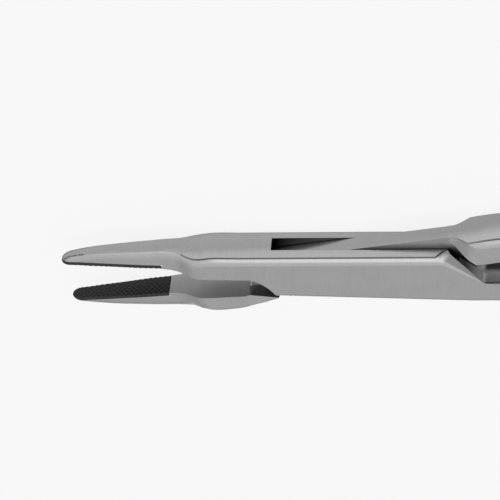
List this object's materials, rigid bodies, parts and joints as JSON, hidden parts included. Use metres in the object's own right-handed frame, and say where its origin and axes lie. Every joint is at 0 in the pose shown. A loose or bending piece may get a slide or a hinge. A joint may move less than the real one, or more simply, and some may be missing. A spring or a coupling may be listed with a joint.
{
  "type": "surgical needle holder",
  "caption": "Ring-handled needle holder: two forged steel halves cross in a box lock and turn on a flush pin, with hatched hard inserts in slim tapered jaws and a ratchet between the shanks.",
  "frame": {"origin": "where the hinge axis meets the underside of the box lock", "axes": "+X along the lock towards the jaw tips, +Z along the hinge axis, up out of the surface that the instrument lies on"},
  "size_m": [0.1798, 0.0883, 0.0057],
  "materials": {
    "satin_steel": "satin ground stainless steel with fine lengthwise brushing",
    "dark_insert": "dark sintered hard metal with a crossed cut of small pyramids"
  },
  "bodies": {
    "slotted": {"slotted_half": "satin_steel", "hinge_pin": "satin_steel", "slotted_insert": "dark_insert"},
    "turning": {"turning_half": "satin_steel", "turning_insert": "dark_insert"}
  },
  "joints": [
    {"name": "box_lock", "type": "hinge", "parent": "slotted", "child": "turning", "pos_m": [0, 0, 0.00283], "axis": [0, 0, 1], "range_deg": [-10, 35]}
  ]
}
